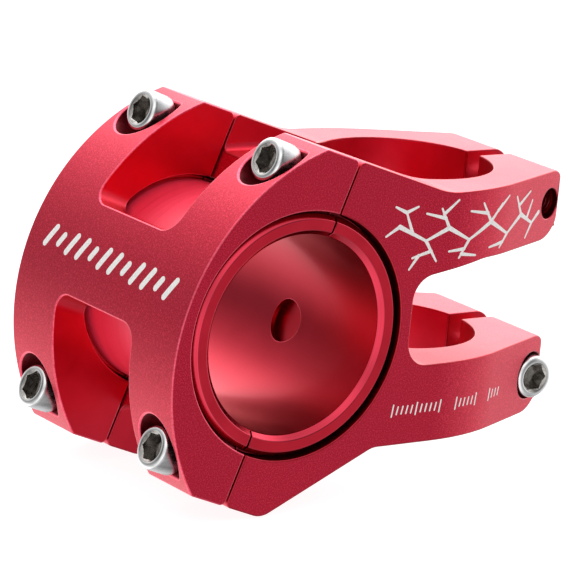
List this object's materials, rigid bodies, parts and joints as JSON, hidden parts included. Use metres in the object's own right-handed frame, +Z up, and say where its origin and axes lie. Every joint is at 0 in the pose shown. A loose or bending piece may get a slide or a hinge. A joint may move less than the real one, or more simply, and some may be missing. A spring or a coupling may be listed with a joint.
{
  "type": "handlebar stem",
  "caption": "Short bicycle handlebar stem: two split bands clamp a steerer tube, an H-shaped faceplate clamps the bar, a two-part flanged shim reduces the bore.",
  "frame": {"origin": "on the steerer axis, in the plane of the lower band's bottom face", "axes": "+X forward from the steerer to the handlebar, +Y to the rider's left along the handlebar, +Z up the steerer"},
  "size_m": [0.0812, 0.0448, 0.0585],
  "materials": {
    "anodised_body": "bead-blasted red anodising, satin",
    "anodised_shim": "machined red anodising, semi-gloss",
    "polished_steel": "polished stainless steel"
  },
  "bodies": {
    "stem": {"stem_body": "anodised_body"},
    "face": {"faceplate": "anodised_body"},
    "front_shim": {"shim_front": "anodised_shim"},
    "rear_shim": {"shim_rear": "anodised_shim"},
    "face_bolt_upper_left": {"faceplate_bolt_upper_left": "polished_steel"},
    "face_bolt_upper_right": {"faceplate_bolt_upper_right": "polished_steel"},
    "face_bolt_lower_left": {"faceplate_bolt_lower_left": "polished_steel"},
    "face_bolt_lower_right": {"faceplate_bolt_lower_right": "polished_steel"},
    "clamp_bolt_upper": {"steerer_bolt_upper": "polished_steel"},
    "clamp_bolt_lower": {"steerer_bolt_lower": "polished_steel"}
  },
  "joints": [
    {"name": "faceplate_lift", "type": "slide", "parent": "stem", "child": "face", "axis": [0.9379, 0, 0.3469], "range_m": [0, 0.045]},
    {"name": "shim_front_lift", "type": "slide", "parent": "stem", "child": "front_shim", "axis": [0.9379, 0, 0.3469], "range_m": [0, 0.03]},
    {"name": "shim_rear_lift", "type": "slide", "parent": "stem", "child": "rear_shim", "axis": [0.9379, 0, 0.3469], "range_m": [0, 0.015]},
    {"name": "face_bolt_upper_left_turn", "type": "hinge", "parent": "face", "child": "face_bolt_upper_left", "pos_m": [0.03542, 0.017, 0.0445], "axis": [0.9379, 0, 0.3469], "continuous": true},
    {"name": "face_bolt_upper_right_turn", "type": "hinge", "parent": "face", "child": "face_bolt_upper_right", "pos_m": [0.03542, -0.017, 0.0445], "axis": [0.9379, 0, 0.3469], "continuous": true},
    {"name": "face_bolt_lower_left_turn", "type": "hinge", "parent": "face", "child": "face_bolt_lower_left", "pos_m": [0.05165, 0.017, 0.00061], "axis": [0.9379, 0, 0.3469], "continuous": true},
    {"name": "face_bolt_lower_right_turn", "type": "hinge", "parent": "face", "child": "face_bolt_lower_right", "pos_m": [0.05165, -0.017, 0.00061], "axis": [0.9379, 0, 0.3469], "continuous": true},
    {"name": "clamp_bolt_upper_turn", "type": "hinge", "parent": "stem", "child": "clamp_bolt_upper", "pos_m": [-0.0197, 0, 0.035], "axis": [0, -1, 0], "continuous": true},
    {"name": "clamp_bolt_lower_turn", "type": "hinge", "parent": "stem", "child": "clamp_bolt_lower", "pos_m": [-0.0197, 0, 0.0061], "axis": [0, 1, 0], "continuous": true}
  ],
  "couplings": [
    {"joint": "shim_front_lift", "follows": "faceplate_lift", "ratio": 0.6666},
    {"joint": "shim_rear_lift", "follows": "faceplate_lift", "ratio": 0.3333}
  ]
}
